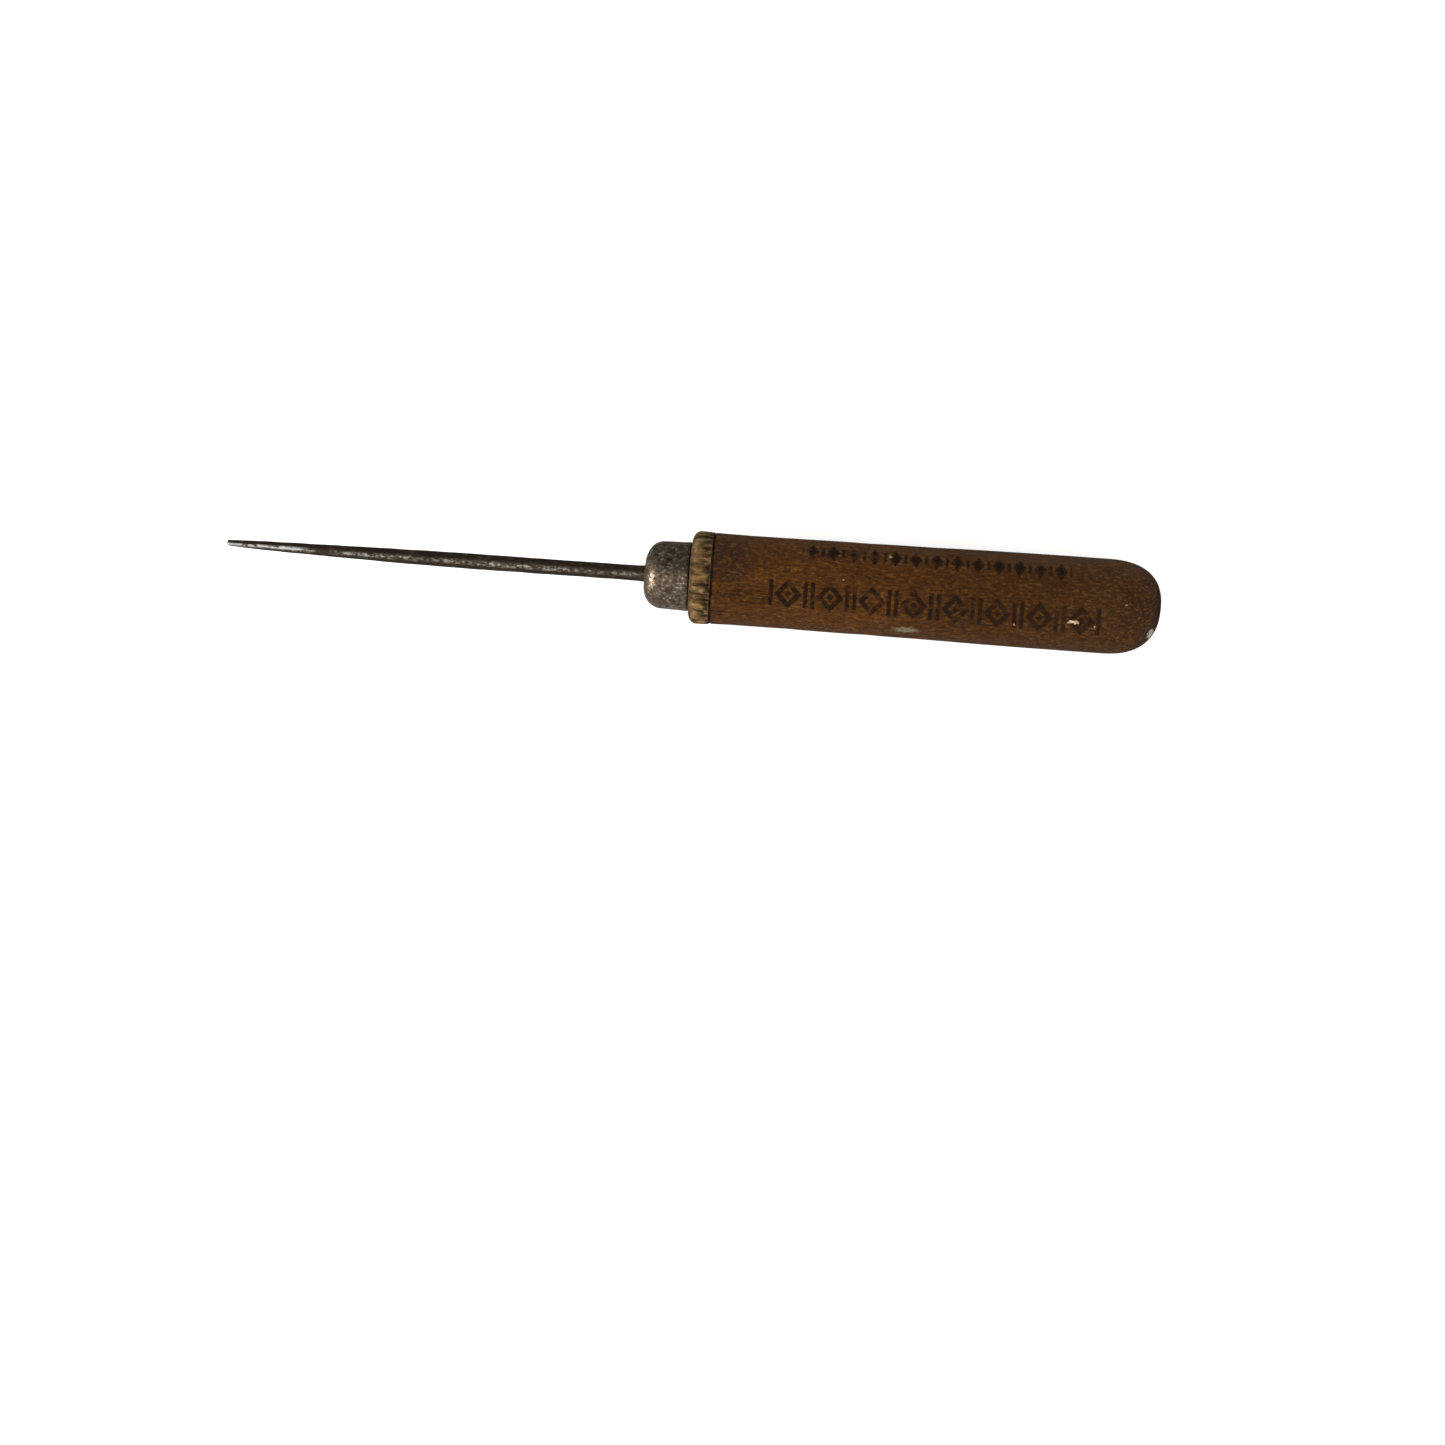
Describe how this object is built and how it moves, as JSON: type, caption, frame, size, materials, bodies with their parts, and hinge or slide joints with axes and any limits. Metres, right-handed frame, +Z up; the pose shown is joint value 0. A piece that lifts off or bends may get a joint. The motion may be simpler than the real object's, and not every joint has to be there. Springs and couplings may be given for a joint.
{
  "type": "ice pick",
  "caption": "Tapered steel spike driven into a turned wooden handle, with a drawn steel ferrule at the handle's front end.",
  "frame": {"origin": "bottom centre of the tool's bounding box, as it lies on its side: the underside of the handle's swell is at z = 0", "axes": "+X along the tool's axis from the point to the butt, +Z up, +Y across the tool"},
  "size_m": [0.2194, 0.0222, 0.0222],
  "materials": {
    "stained_wood": "stained and varnished hardwood, worn, with raw wood showing at the front collar",
    "plated_steel": "drawn steel with dull, pitted nickel plating",
    "dark_steel": "ground carbon steel, darkened by age and worn bright near the point"
  },
  "bodies": {
    "root": {"handle": "stained_wood", "ferrule": "plated_steel", "pick": "dark_steel"}
  },
  "joints": []
}
